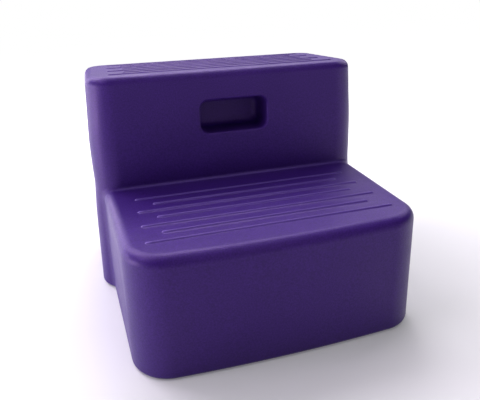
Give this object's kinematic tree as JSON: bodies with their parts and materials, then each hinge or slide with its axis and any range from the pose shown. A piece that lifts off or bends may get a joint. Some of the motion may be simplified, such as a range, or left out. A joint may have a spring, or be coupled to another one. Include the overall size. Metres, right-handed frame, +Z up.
{
  "type": "mounting block",
  "caption": "Two-tread moulded plastic mounting block with staggered anti-slip ribs, a hand-hold pocket in the riser and a screw-in filler bung in the back wall.",
  "frame": {"origin": "on the floor, under the middle of the block's bounding box", "axes": "the steps are climbed from -Y towards +Y, +X is to the right, +Z is up"},
  "size_m": [0.5458, 0.5561, 0.4045],
  "materials": {
    "moulded_body": "deep purple polyethylene, satin, fine mould texture",
    "collar_plastic": "black moulded polyethylene",
    "bung_plastic": "black moulded polypropylene, satin",
    "seal_rubber": "black rubber, matt",
    "vent_plastic": "black low-density polyethylene"
  },
  "bodies": {
    "block": {"block_shell": "moulded_body", "filler_collar": "collar_plastic", "vent_plug": "vent_plastic"},
    "seal": {"bung_seal": "seal_rubber"},
    "bung": {"filler_bung": "bung_plastic"}
  },
  "joints": [
    {"name": "bung_lift", "type": "slide", "parent": "block", "child": "seal", "axis": [0, 1, 0], "range_m": [0, 0.014]},
    {"name": "bung_turn", "type": "hinge", "parent": "seal", "child": "bung", "pos_m": [0, 0.2426, 0.318], "axis": [0, 1, 0], "range_deg": [0, 1260]}
  ],
  "couplings": [
    {"joint": "bung_lift", "follows": "bung_turn", "m_per_rad": 0.00063662}
  ]
}
